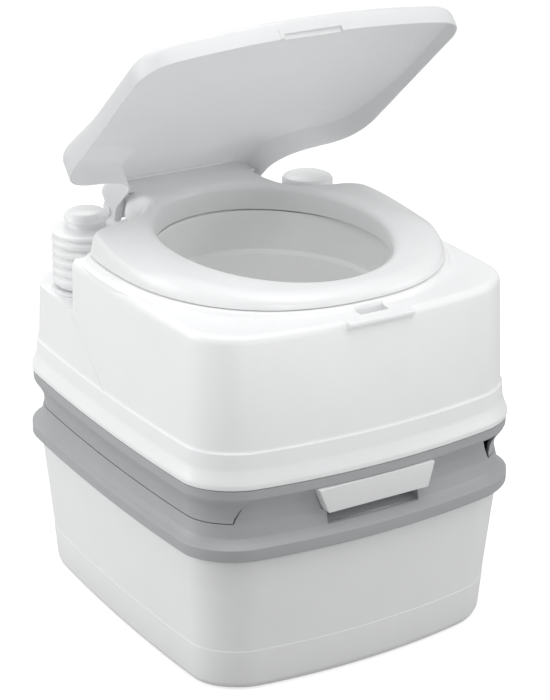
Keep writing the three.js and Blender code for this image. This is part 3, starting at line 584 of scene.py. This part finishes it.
def lower_collar():
    """Grey collar on the waste tank: flange, deck, front wall, pocket and latch ears."""
    band = swept("lower_collar_moulding", [
        (190.6, FLANGE_LOW, 0.3), (191.6, FLANGE_LOW, 0.5), (WIDEST, FLANGE_LOW + 1.6, 1),
        (WIDEST, FLANGE_HIGH, 1), (188.6, 167.4, 4), (185.2, 171.6, 5), (182.6, SEAM - 0.2, 0.5),
        (180.2, SEAM - 0.2, 0.5), (181.4, DECK + 2.4, 1), (170, DECK + 2.4), (170, DECK),
        (182.6, DECK), (183.2, 170.8, 1), (186.8, 166.2, 2), (190.6, FLANGE_HIGH - 1, 1),
    ], closed=True)
    join(band, waist_front(), pocket_frame(), *latch_ears())
    handle_recess = prism("opening", handle_outline(0.7), -FAR, HANDLE_BACK + 0.6, "y")
    rod_slot = block("slot", -17, 17, -200, -160, 185.6, 193)
    pin_hole = rod("pin_hole", LATCH_X - 30, LATCH_X + 30, LATCH_Y, LATCH_Z, 2)
    cut(band, handle_recess, finger_pocket(), rod_slot, pin_hole, spout_window(DECK + 2.4, FAR))
    return settle(band, "waste_section", GREY, "grey_plastic", "lower_collar")


def handle_outline(grow=0.0):
    """Front outline of the pull handle, with its sides moved outwards by grow."""
    left, right = HANDLE_LEFT - grow, HANDLE_RIGHT + grow
    low, high = HANDLE_BOTTOM - grow, HANDLE_TOP + grow
    return [(left + 11, low, 2), (right - 7, low, 1.5), (right, high, 1), (left, high, 1)]


def valve_handle():
    """Hollow grip, closed in front, with a web at its middle for the rod."""
    grip = prism("valve_handle_moulding", handle_outline(), HANDLE_FACE, HANDLE_BACK, "y", 0.9)
    hollow = prism("hollow", [
        (HANDLE_LEFT + 14, HANDLE_BOTTOM + 3), (HANDLE_RIGHT - 11, HANDLE_BOTTOM + 3),
        (HANDLE_RIGHT - 5, HANDLE_TOP - 3), (HANDLE_LEFT + 5, HANDLE_TOP - 3),
    ], HANDLE_FACE + 3, HANDLE_BACK + 4, "y")
    web = block("web", -18, 18, -230, -180, 180, 220)
    return settle(cut(grip, cut(hollow, web)), "valve_slider", OFF_WHITE, "off_white_plastic",
                  "valve_handle")


def vent_spring():
    """Coil under the vent button, built at one fixed length."""
    wire, radius, turns, low, high = 0.7, 6.4, 3, 173.1, 178.9
    steps, sides = 24, 10
    up = np.array((0, 0, 1))
    section = [2 * math.pi * k / sides for k in range(sides)]
    rings = []
    for step in range(turns * steps + 1):
        angle = 2 * math.pi * step / steps
        height = low + (high - low) * step / (turns * steps)
        spot = np.array((VENT_X + radius * math.cos(angle), VENT_Y + radius * math.sin(angle), height))
        out = np.array((math.cos(angle), math.sin(angle), 0))
        rings.append([spot + wire * (math.sin(a) * out + math.cos(a) * up) for a in section])
    coil = loft("vent_spring_coil", rings)
    settle(coil, "vent", STEEL, "steel", "vent_spring")
    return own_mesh(coil)


# ---------------------------------------------------------------- flush section

def upper_collar():
    """Grey skirt under the flush tank, open in front and along the spout."""
    skirt = swept("upper_collar_moulding", [
        (179.6, SEAM + 0.6, 0.5), (182.4, SEAM + 0.6, 0.6), (181.6, 190, 4), (182.8, 199, 8),
        (185.8, 206, 8), (189.2, 211.3, 5), (190.6, 214.6, 3), (190.6, SKIRT_TOP, 0.3),
        (CORE, SKIRT_TOP), (CORE, 221), (187.8, 221), (187.8, 215, 3), (186.4, 212.6, 3),
        (183, 207.4, 8), (180, 199.6, 8), (178.9, 190, 4),
    ], closed=True)
    join(skirt, block("lug", LATCH_X - 12, LATCH_X + 12, 200.5, 208.4, 192, 196, 0.6))
    cut(skirt, cutout(CUTOUT_LEFT, CUTOUT_RIGHT, SEAM - 5, 213.4, 0), spout_window(170, 219))
    return settle(skirt, "flush_section", GREY, "grey_plastic", "upper_collar")


def plinth():
    """Raised ground under the seat, with a soft fillet down to the top of the tank."""
    edge = seat_outline(SEAT_HALF, SEAT_REACH, 70, 157)
    normal = outward(edge)
    profile = arcs([(11, 366), (11, 372.2), (10, UPPER_TOP - 0.2, 1), (6.6, UPPER_TOP + 0.6, 4),
                    (4.9, 376.6, 1.5), (4, PLINTH_TOP, 1.2), (-4, PLINTH_TOP)])
    rings = [[(*point, height) for point in edge + normal * grow] for grow, height in profile]
    return loft("plinth", rings)


def lid_bed():
    """Shallow channel in the plinth where the rim of the closed lid crosses it."""
    edge, gap, low, high = lid_outline(), 0.8, LID_RIM - 0.5, 400
    normal = outward(edge)
    rings = [[(*point, height) for point in edge + normal * grow]
             for grow, height in ((gap, low), (gap, high), (-WALL - gap, high), (-WALL - gap, low))]
    return within(loft("lid_bed", rings, closed=True), block("limit", -200, 200, 50, 115, 370, 395))


def crease():
    """Thin groove that curves down the left wall of the tank from the shelf of the pump."""
    half_width, deep, out = 0.35, 0.5, 1
    path = even(trace((86, 321), ((64, 308), (5, 259))), 24)
    rings = []
    for y, z in path:
        half = 184.5 - 3.9 * (z - UPPER_FOOT) / (UPPER_SHOULDER - UPPER_FOOT)
        wall = half - BOW_SIDE * half / WIDEST * (y / (half + EXTRA_DEPTH)) ** 2
        rings.append([(-wall + depth, y + half_width * side, z - half_width * side)
                      for side, depth in ((-1, -out), (1, -out), (0.4, deep), (-0.4, deep))])
    return loft("crease", rings)


def bowl_well():
    """Space in the tank that the bowl hangs in."""
    return swept("well", [
        (62, 215), (62, 223), (81.4, 250), (103.8, 291), (117, 329), (118.8, 336), (123.4, 372.8),
        (130, 372.8), (130, 400),
    ], oval_plan)


def rear_shelves():
    """Lowered corners for the pump and the filler, and the lower ground under the hinge."""
    corner = [(-FAR, 56), (-182.2, 56), (-182.2, 82, 24), (-98, 82, 3), (-98, 250), (-FAR, 250)]
    return [prism("shelf", corner, PUMP_SHELF, 420, edge=1.6),
            block("shelf", 101, FAR, 100, 250, FILL_SHELF, 420, 1.6),
            block("shelf", -100, 103, 162, 250, 360, 420, 1.6)]


def front_tongue():
    """Small tongue on the front edge, under the catch of the lid."""
    profile = [(-197, 372.6), (-207.4, 372, 1), (-207.4, 369, 1), (-201, 362, 1), (-197, 362)]
    return prism("tongue", profile, -37, 37, "x", 0.4)


def upper_tank():
    """Flush tank: lipped foot, straight wall, rounded shoulder, plinth, well and shelves."""
    tank = swept("upper_tank_moulding", [
        (CORE, UPPER_BOTTOM), (190.2, UPPER_BOTTOM, 0.5), (191.5, 225.3, 1), (191.4, 229.5, 4),
        (189.4, 235.4, 12), (187.2, 243, 18), (186.3, 258.8, 0.5), (185, 260.4, 0.6),
        (184.6, UPPER_FOOT, 1), (180.6, UPPER_SHOULDER, 12), (179.2, 370.4, 5),
        (175.5, UPPER_TOP, 5), (CORE, UPPER_TOP),
    ])
    join(tank, plinth())
    cut(tank, bowl_well(), crease(), lid_bed(), *rear_shelves())
    join(tank, front_tongue())
    cut(tank, block("catch_slot", -16, 16, -193.4, -181.4, 364, 380),
        post("pump_hole", PUMP_X, PUMP_Y, PUMP_HOLE, PUMP_SHELF - 30, PUMP_SHELF + 10),
        post("fill_hole", FILL_X, FILL_Y, FILL_HOLE, FILL_SHELF - 22, FILL_SHELF + 8))
    return settle(tank, "flush_section", WHITE, "white_plastic", "upper_tank")


def bowl():
    """Thin bowl from the outlet up to the rim, with a ledge below the rim."""
    foot, rim = 204, 378
    basin = swept("bowl_moulding", [
        (47.4, foot), (47.4, 209, 3), (56, 219, 12), (77.4, 249, 40), (100.4, 291, 60),
        (113.8, 328.6, 5), (115.6, 336, 4), (120.6, rim - 2.2), (128, rim - 2.2, 0.5), (128, rim, 0.5),
        (118, rim, 1.5), (113, 337.4, 2), (109, 333.6, 2), (98, 291, 60), (75, 249.6, 40),
        (53.4, 219.6, 12), (45, 209.6, 3), (45, foot),
    ], oval_plan, closed=True)
    return settle(basin, "flush_section", BOWL_GREY, "light_grey_plastic", "bowl")


def pump_bellows():
    """Bellows with a fold at each ridge, closing on the neck of the knob."""
    wall, low, top = 1.8, PUMP_SHELF + 3.8, PUMP_TOP
    neck = top - 13.4
    ridges = [PUMP_SHELF + 13 + PUMP_PITCH * k for k in range(PUMP_FOLDS)]
    outside = [(28, low, 0.5), (PUMP_VALLEY, low + 1.4, 1)]
    inside = [(26, low), (PUMP_VALLEY - wall, low + 2)]
    for height in ridges:
        outside += [(PUMP_RIDGE, height - 2.2, 2), (PUMP_RIDGE, height + 2.2, 2)]
        inside += [(PUMP_RIDGE - wall, height - 0.8, 1)]
        if height != ridges[-1]:
            outside += [(PUMP_VALLEY, height + PUMP_PITCH / 2, 1)]
            inside += [(PUMP_VALLEY - wall, height + PUMP_PITCH / 2, 1)]
    outside[-1] = (PUMP_RIDGE - 0.4, ridges[-1] + 0.6, 1)
    outside += [(33, top - 20.4, 1.5), (20, top - 19, 1), (18, top - 17.4, 1), (18, neck)]
    inside += [(31, top - 22.8), (18, top - 21.4), (15.6, top - 19.6), (15.6, neck)]
    bellows = turned("pump_bellows_moulding", outside + inside[::-1], PUMP_X, PUMP_Y, True)
    settle(bellows, "flush_section", WHITE, "white_plastic", "pump_bellows")
    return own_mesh(bellows)


def pump_knob():
    """Domed knob whose stem sits in the neck of the bellows."""
    top = PUMP_TOP
    knob = turned("pump_knob_moulding", [
        (2, top - 18), (14.6, top - 18, 0.3), (14.6, top - 13, 0.3), (21.4, top - 13, 0.8),
        (23.2, top - 10.2, 1.6), (22.4, top - 6, 4), (18, top - 2, 5), (9, top - 0.3, 8),
        (0.5, top),
    ], PUMP_X, PUMP_Y)
    return settle(knob, "pump_plunger", LIGHT_GREY, "light_grey_plastic", "pump_knob")


def fill_cap():
    """Round domed cap, hollow below, over the neck of the filler."""
    inside, skirt = 21.8, FILL_SHELF + 12
    cap = turned("fill_cap_moulding", [
        (2, skirt + 11.8), (inside, skirt + 11.8), (inside, skirt),
        (FILL_RADIUS - 1, skirt, 0.6), (FILL_RADIUS, skirt + 1.4, 0.8),
        (FILL_RADIUS, FILL_TOP - 6.6, 2), (FILL_RADIUS - 1.8, FILL_TOP - 3.8, 2.5),
        (19.6, FILL_TOP - 1.3, 4), (10, FILL_TOP - 0.2, 10), (0.5, FILL_TOP),
    ], FILL_X, FILL_Y)
    return settle(cap, "fill_cap_turn", LIGHT_GREY, "light_grey_plastic", "fill_cap")


# ---------------------------------------------------------------- seat and lid

def seat_shell():
    """Crowned ring, hollow underneath, drawn as rings round the hole."""
    edge, cover = seat_outline(SEAT_HALF, SEAT_REACH, SEAT_NECK, SEAT_END), lid_outline()
    centre = np.array((0, HOLE_CENTRE))
    out = edge - centre
    reach = np.linalg.norm(out, axis=1, keepdims=True)
    out = out / reach
    hole = 1 / np.sqrt((out[:, :1] / HOLE_HALF) ** 2 + (out[:, 1:] / (HOLE_HALF + HOLE_LONGER)) ** 2)

    def ring(radius, height):
        flat = centre + out * radius
        return np.concatenate((flat, np.broadcast_to(height, (len(flat), 1))), axis=1)

    def crown(radius, thickness=0.0):
        """Height of the top surface at a distance from the middle of the hole."""
        flat = centre + out * radius
        gap = distance(flat, edge)[:, None]
        inner = radius - hole
        top = soft_min(SEAT_TOP + SEAT_SLOPE * flat[:, 1:], np.full_like(gap, SEAT_HUMP), 6)
        top = top - (top - SEAT_BOTTOM - 2.5) * round_drop(gap, 15) / 15
        top = soft_min(top, lid_inside(flat, cover)[:, None] - SEAT_UNDER_LID, 2)
        top = top - round_drop(inner - 1, 9) - 1.2 * (1 - ease(inner, 0, 20))
        return top - thickness

    rim_band, hole_band, wall, low = 14, 12, SEAT_WALL, SEAT_BOTTOM
    rings = []
    for share in np.linspace(0, 1, 20):  # under the top, from the hole to the rim
        radius = hole + wall + 2 + (reach - hole - 2 * wall - 2) * share
        rings.append(ring(radius, crown(radius, wall + 1) - 1.5))
    for inset, rise in ((wall, 0.6), (wall - 0.5, 0), (0.8, 0), (0.2, 0.3)):  # foot of the rim
        rings.append(ring(reach - inset, low + rise))
    side = crown(reach)
    for share in (0.06, 0.4, 0.7, 0.9, 1):  # up the rim
        rings.append(ring(reach, low + (side - low) * share))
    for share in 1 - np.cos(np.linspace(0.06, 1, 16) * math.pi / 2):  # over the top, to the hole
        rings.append(ring(reach - rim_band * share, crown(reach - rim_band * share)))
    for share in np.linspace(0, 1, 22)[1:]:
        radius = reach - rim_band + (hole + hole_band - reach + rim_band) * share
        rings.append(ring(radius, crown(radius)))
    for share in np.sin(np.linspace(0, 1, 14)[1:] * math.pi / 2):
        radius = hole + hole_band - 10.9 * share
        rings.append(ring(radius, crown(radius)))
    for inset, height in ((0.5, 390), (0.2, 384), (0.2, low + 0.5), (0.8, low), (2, low),
                          (wall, low + 0.5), (wall + 1, 390)):  # down the hole and up behind it
        rings.append(ring(hole + inset, height))
    return loft("seat_moulding", rings, closed=True)


def seat():
    """Ring with a neck to the hinge, two lugs on the hinge pins, and a hood over them."""
    body, lugs, bores = seat_shell(), [], []
    profile = [(150, 380), (HINGE_Y, 371), (185, 380), (185, 404), (150, 405)]
    for x0, x1 in ((-LUG_OUTER, -LUG_INNER), (LUG_INNER, LUG_OUTER)):
        lugs.append(prism("lug", profile, x0, x1, "x"))
        lugs.append(rod("barrel", x0, x1, HINGE_Y, HINGE_Z, LUG_RADIUS))
        bores.append(rod("bore", x0 - 1, x1 + 1, HINGE_Y, HINGE_Z, HINGE_BORE))
    cut(body, block("rear", -120, 120, HOOD_FRONT + 4, 220, 300, 450))
    join(body, hood(), *lugs)
    cut(body, *bores)
    return settle(body, "toilet_seat", OFF_WHITE, "off_white_plastic", "seat")


def hood():
    """Shell over the hinge that carries the top of the seat on to the rear."""
    angles = [math.radians(a) for a in range(0, 73, 6)]

    def arc(radius):
        return [(HINGE_Y + radius * math.sin(a), HINGE_Z + radius * math.cos(a)) for a in angles]

    front = [(HOOD_FRONT, SEAT_HUMP - 0.8 - SEAT_WALL), (HOOD_FRONT, SEAT_HUMP - 0.4)]
    section = front + arc(HOOD_RADIUS) + arc(HOOD_RADIUS - SEAT_WALL)[::-1]
    shell = prism("hood", section, -HOOD_HALF, HOOD_HALF, "x", 0.8)
    return within(shell, block("limit", -120, 120, 140, HOOD_END, 386, 420))


def lid_shell():
    """Shallow tray, drawn as rings from the middle of its inside, round the rim, to the top."""
    edge = lid_outline()
    normal = outward(edge)
    inner = edge - normal * WALL
    spine = np.stack((np.zeros(len(edge)), np.clip(edge[:, 1], -120, 120)), axis=1)

    def toward_middle(outline, share):
        return outline + (spine - outline) * share

    def ring(flat, height):
        return np.concatenate((flat, np.broadcast_to(height, len(flat))[:, None]), axis=1)

    near, border, middle = 1 - np.cos(np.linspace(0, 1, 22) * math.pi / 2), 0.16, 0.985
    shares = np.concatenate((near * border, np.linspace(border, middle, 26)[1:]))
    inside = [toward_middle(inner, share) for share in shares[::-1]]
    outside = [toward_middle(edge, share) for share in shares[1:]]
    start, end, low = lid_inside(inner, edge), lid_top(edge, edge), LID_RIM
    rings = [ring(flat, lid_inside(flat, edge)) for flat in inside]
    rings += [ring(inner, start + (low + 0.5 - start) * share) for share in (0.35, 0.7, 0.95)]
    rings += [ring(inner + normal * 0.4, low), ring(edge - normal * 0.5, low),
              ring(edge - normal * 0.1, low + 0.4)]
    rings += [ring(edge, low + 0.8 + (end - low - 0.8) * share) for share in (0.05, 0.35, 0.7, 1)]
    rings += [ring(flat, lid_top(flat, edge)) for flat in outside]
    return loft("lid_moulding", rings)


def lid_arms():
    """Two arms with a barrel and a boss each on the hinge line, and their bores."""
    arms, bores = [], []
    profile = [(156, LID_RIM + 1, 1), (HINGE_Y, 367), (HINGE_Y, 393), (156, 397)]
    for side in (-1, 1):
        x0, x1 = sorted((ARM_INNER * side, ARM_OUTER * side))
        arms.append(prism("arm", profile, x0, x1, "x"))
        arms.append(rod("barrel", x0, x1, HINGE_Y, HINGE_Z, ARM_RADIUS))
        x0, x1 = sorted(((ARM_OUTER - 1) * side, (ARM_OUTER + 2.6) * side))
        arms.append(rod("boss", x0, x1, HINGE_Y, HINGE_Z, 5.4, edge=1))
        x0, x1 = sorted(((ARM_INNER - 1) * side, (ARM_OUTER + 1.4) * side))
        bores.append(rod("bore", x0, x1, HINGE_Y, HINGE_Z, HINGE_BORE))
    return arms, bores


def lid():
    """Tray over the seat with its catch and arms, tipped open about the hinge line."""
    cover = lid_shell()
    cut(cover, block("rear", -200, 200, LID_END, 300, 300, 500))
    arms, bores = lid_arms()
    catch = block("catch", CATCH_LEFT, CATCH_RIGHT, LID_FRONT + 0.8, -182, LID_RIM + 0.2, 388, 1)
    join(cover, *arms, catch)
    slot = block("slot", CATCH_LEFT + 4, CATCH_RIGHT - 4, -215, LID_FRONT + 4, LID_RIM - 4, LID_RIM + 5, 1)
    cut(cover, slot, *bores)
    hinge = Matrix.Translation((0, HINGE_Y * MM, HINGE_Z * MM))
    tip = hinge @ Matrix.Rotation(math.radians(-LID_OPEN), 4, "X") @ hinge.inverted()
    cover.data.transform(tip)
    return settle(cover, "toilet_lid", THIN_WHITE, "white_plastic", "lid")


# ---------------------------------------------------------------- carried-over pieces

def dress_frame():
    """Rounds the edges of the CAD nodes that stay in view, and gives each its finish."""
    for name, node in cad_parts.items():
        if node.hide_render:
            continue
        node.data.materials.clear()
        node.data.materials.append(finish_of(name))
        bevel = node.modifiers.new("edges", "BEVEL")
        bevel.width = CAD_EDGE * MM
        bevel.segments = 2
        bevel.limit_method = "ANGLE"
        bevel.angle_limit = math.radians(40)


def finish_of(name):
    """Finish of a CAD node by what it is."""
    kinds = (("screw", STEEL), ("pin", STEEL), ("spring", STEEL), ("seal", RUBBER),
             ("bumper", RUBBER), ("gasket", RUBBER), ("intake_valve", RUBBER),
             ("outlet_valve", RUBBER), ("valve", DARK), ("spout_cap", GREY), ("spout", DARK),
             ("vent", DARK), ("latch", GREY), ("hinge", GREY), ("nozzle", GREY),
             ("hose", OFF_WHITE), ("tube", OFF_WHITE), ("base", LIGHT_GREY))
    for word, finish in kinds:
        if word in name:
            return finish
    return WHITE


# ---------------------------------------------------------------- floor, light and camera

def floor_paint():
    """Pale matt floor, lifted towards white as the camera sees it."""
    paint = moulded("floor_paint", (0.5, 0.5, 0.5), 0.8, grain=0.02, mottle=0.004, sheen=0.1)
    nodes, links = paint.node_tree.nodes, paint.node_tree.links
    shader = nodes["Principled BSDF"]
    path, level = nodes.new("ShaderNodeLightPath"), nodes.new("ShaderNodeMath")
    level.operation = "MULTIPLY"
    level.inputs[1].default_value = 0.7
    links.new(path.outputs["Is Camera Ray"], level.inputs[0])
    links.new(level.outputs["Value"], shader.inputs["Emission Strength"])
    shader.inputs["Emission Color"].default_value = (1, 1, 1, 1)
    return paint


def floor():
    """Flat pale slab under the object, wide enough to fill the view."""
    reach, under, top = 6000, -8, -0.4
    corners = ((-1, -1), (1, -1), (1, 1), (-1, 1))
    slab = loft("floor", [[(reach * x, reach * y, z) for x, y in corners] for z in (under, top)])
    slab.data.materials.append(floor_paint())


def room():
    """White surroundings, dimmer for the light they throw than as the camera sees them."""
    thrown, seen = 0.46, 1.05
    world = bpy.data.worlds.new("studio")
    world.use_nodes = True
    nodes, links = world.node_tree.nodes, world.node_tree.links
    background = nodes["Background"]
    background.inputs["Color"].default_value = (1, 1, 1, 1)
    path, level = nodes.new("ShaderNodeLightPath"), nodes.new("ShaderNodeMapRange")
    level.inputs["To Min"].default_value = thrown
    level.inputs["To Max"].default_value = seen
    links.new(path.outputs["Is Camera Ray"], level.inputs["Value"])
    links.new(level.outputs["Result"], background.inputs["Strength"])
    bpy.context.scene.world = world


def hang(lamp, place, target):
    """Puts a lamp at a place in metres, aimed at a target."""
    holder = bpy.data.objects.new(lamp.name, lamp)
    holder.location = place
    aim = Vector(target) - Vector(place)
    holder.rotation_euler = aim.to_track_quat("-Z", "Y").to_euler()
    bpy.context.scene.collection.objects.link(holder)


def softbox(name, place, size, power, target=(0, 0, 0.25)):
    """Broad rectangular lamp."""
    lamp = bpy.data.lights.new(name, "AREA")
    lamp.shape = "RECTANGLE"
    lamp.size, lamp.size_y = size
    lamp.energy = power
    hang(lamp, place, target)


def snoot(name, place, target, width, power):
    """Narrow soft-edged beam, its width in degrees."""
    lamp = bpy.data.lights.new(name, "SPOT")
    lamp.energy, lamp.shadow_soft_size = power, 0.2
    lamp.spot_size, lamp.spot_blend = math.radians(width), 0.8
    hang(lamp, place, target)


def lights():
    """Four soft boxes round the object, and two beams into the bowl and under the lid."""
    softbox("left_softbox", place=(-2.4, 1.1, 1.0), size=(1.4, 1.6), power=31)
    softbox("front_softbox", place=(2.5, -1.9, 0.9), size=(1.4, 1.6), power=22)
    softbox("top_softbox", place=(-0.1, -0.7, 2.3), size=(1.8, 1.6), power=23)
    softbox("rear_softbox", place=(0.2, 1.5, 2.1), size=(1.8, 1.2), power=20)
    snoot("bowl_snoot", place=(-0.2, -1.3, 2.2), target=(0, 0.02, 0.36), width=7, power=48)
    snoot("lid_snoot", place=(-0.7, -2.4, 0.3), target=(0, 0.02, 0.54), width=13, power=75)
    bpy.context.scene.view_settings.view_transform = "Standard"


def camera():
    """Long lens from the front left and above."""
    azimuth, elevation = math.radians(VIEW_AZIMUTH), math.radians(VIEW_ELEVATION)
    back = Vector((math.sin(azimuth) * math.cos(elevation), -math.cos(azimuth) * math.cos(elevation),
                   math.sin(elevation)))
    lens = bpy.data.cameras.new("camera")
    lens.sensor_width, lens.lens = SENSOR, LENS
    lens.shift_x, lens.shift_y = SHIFT
    eye = bpy.data.objects.new("camera", lens)
    roll = Matrix.Rotation(math.radians(VIEW_ROLL), 3, "Z")
    turn = (-back).to_track_quat("-Z", "Y").to_matrix() @ roll
    place = Vector(VIEW_TARGET) * MM + back * VIEW_DISTANCE
    eye.matrix_world = Matrix.Translation(place) @ turn.to_4x4()
    bpy.context.scene.collection.objects.link(eye)
    bpy.context.scene.camera = eye


for build in (lower_tank, lower_collar, valve_handle, vent_spring, upper_collar, upper_tank, bowl,
              pump_bellows, pump_knob, fill_cap, seat, lid):
    build()
dress_frame()
floor()
room()
lights()
camera()
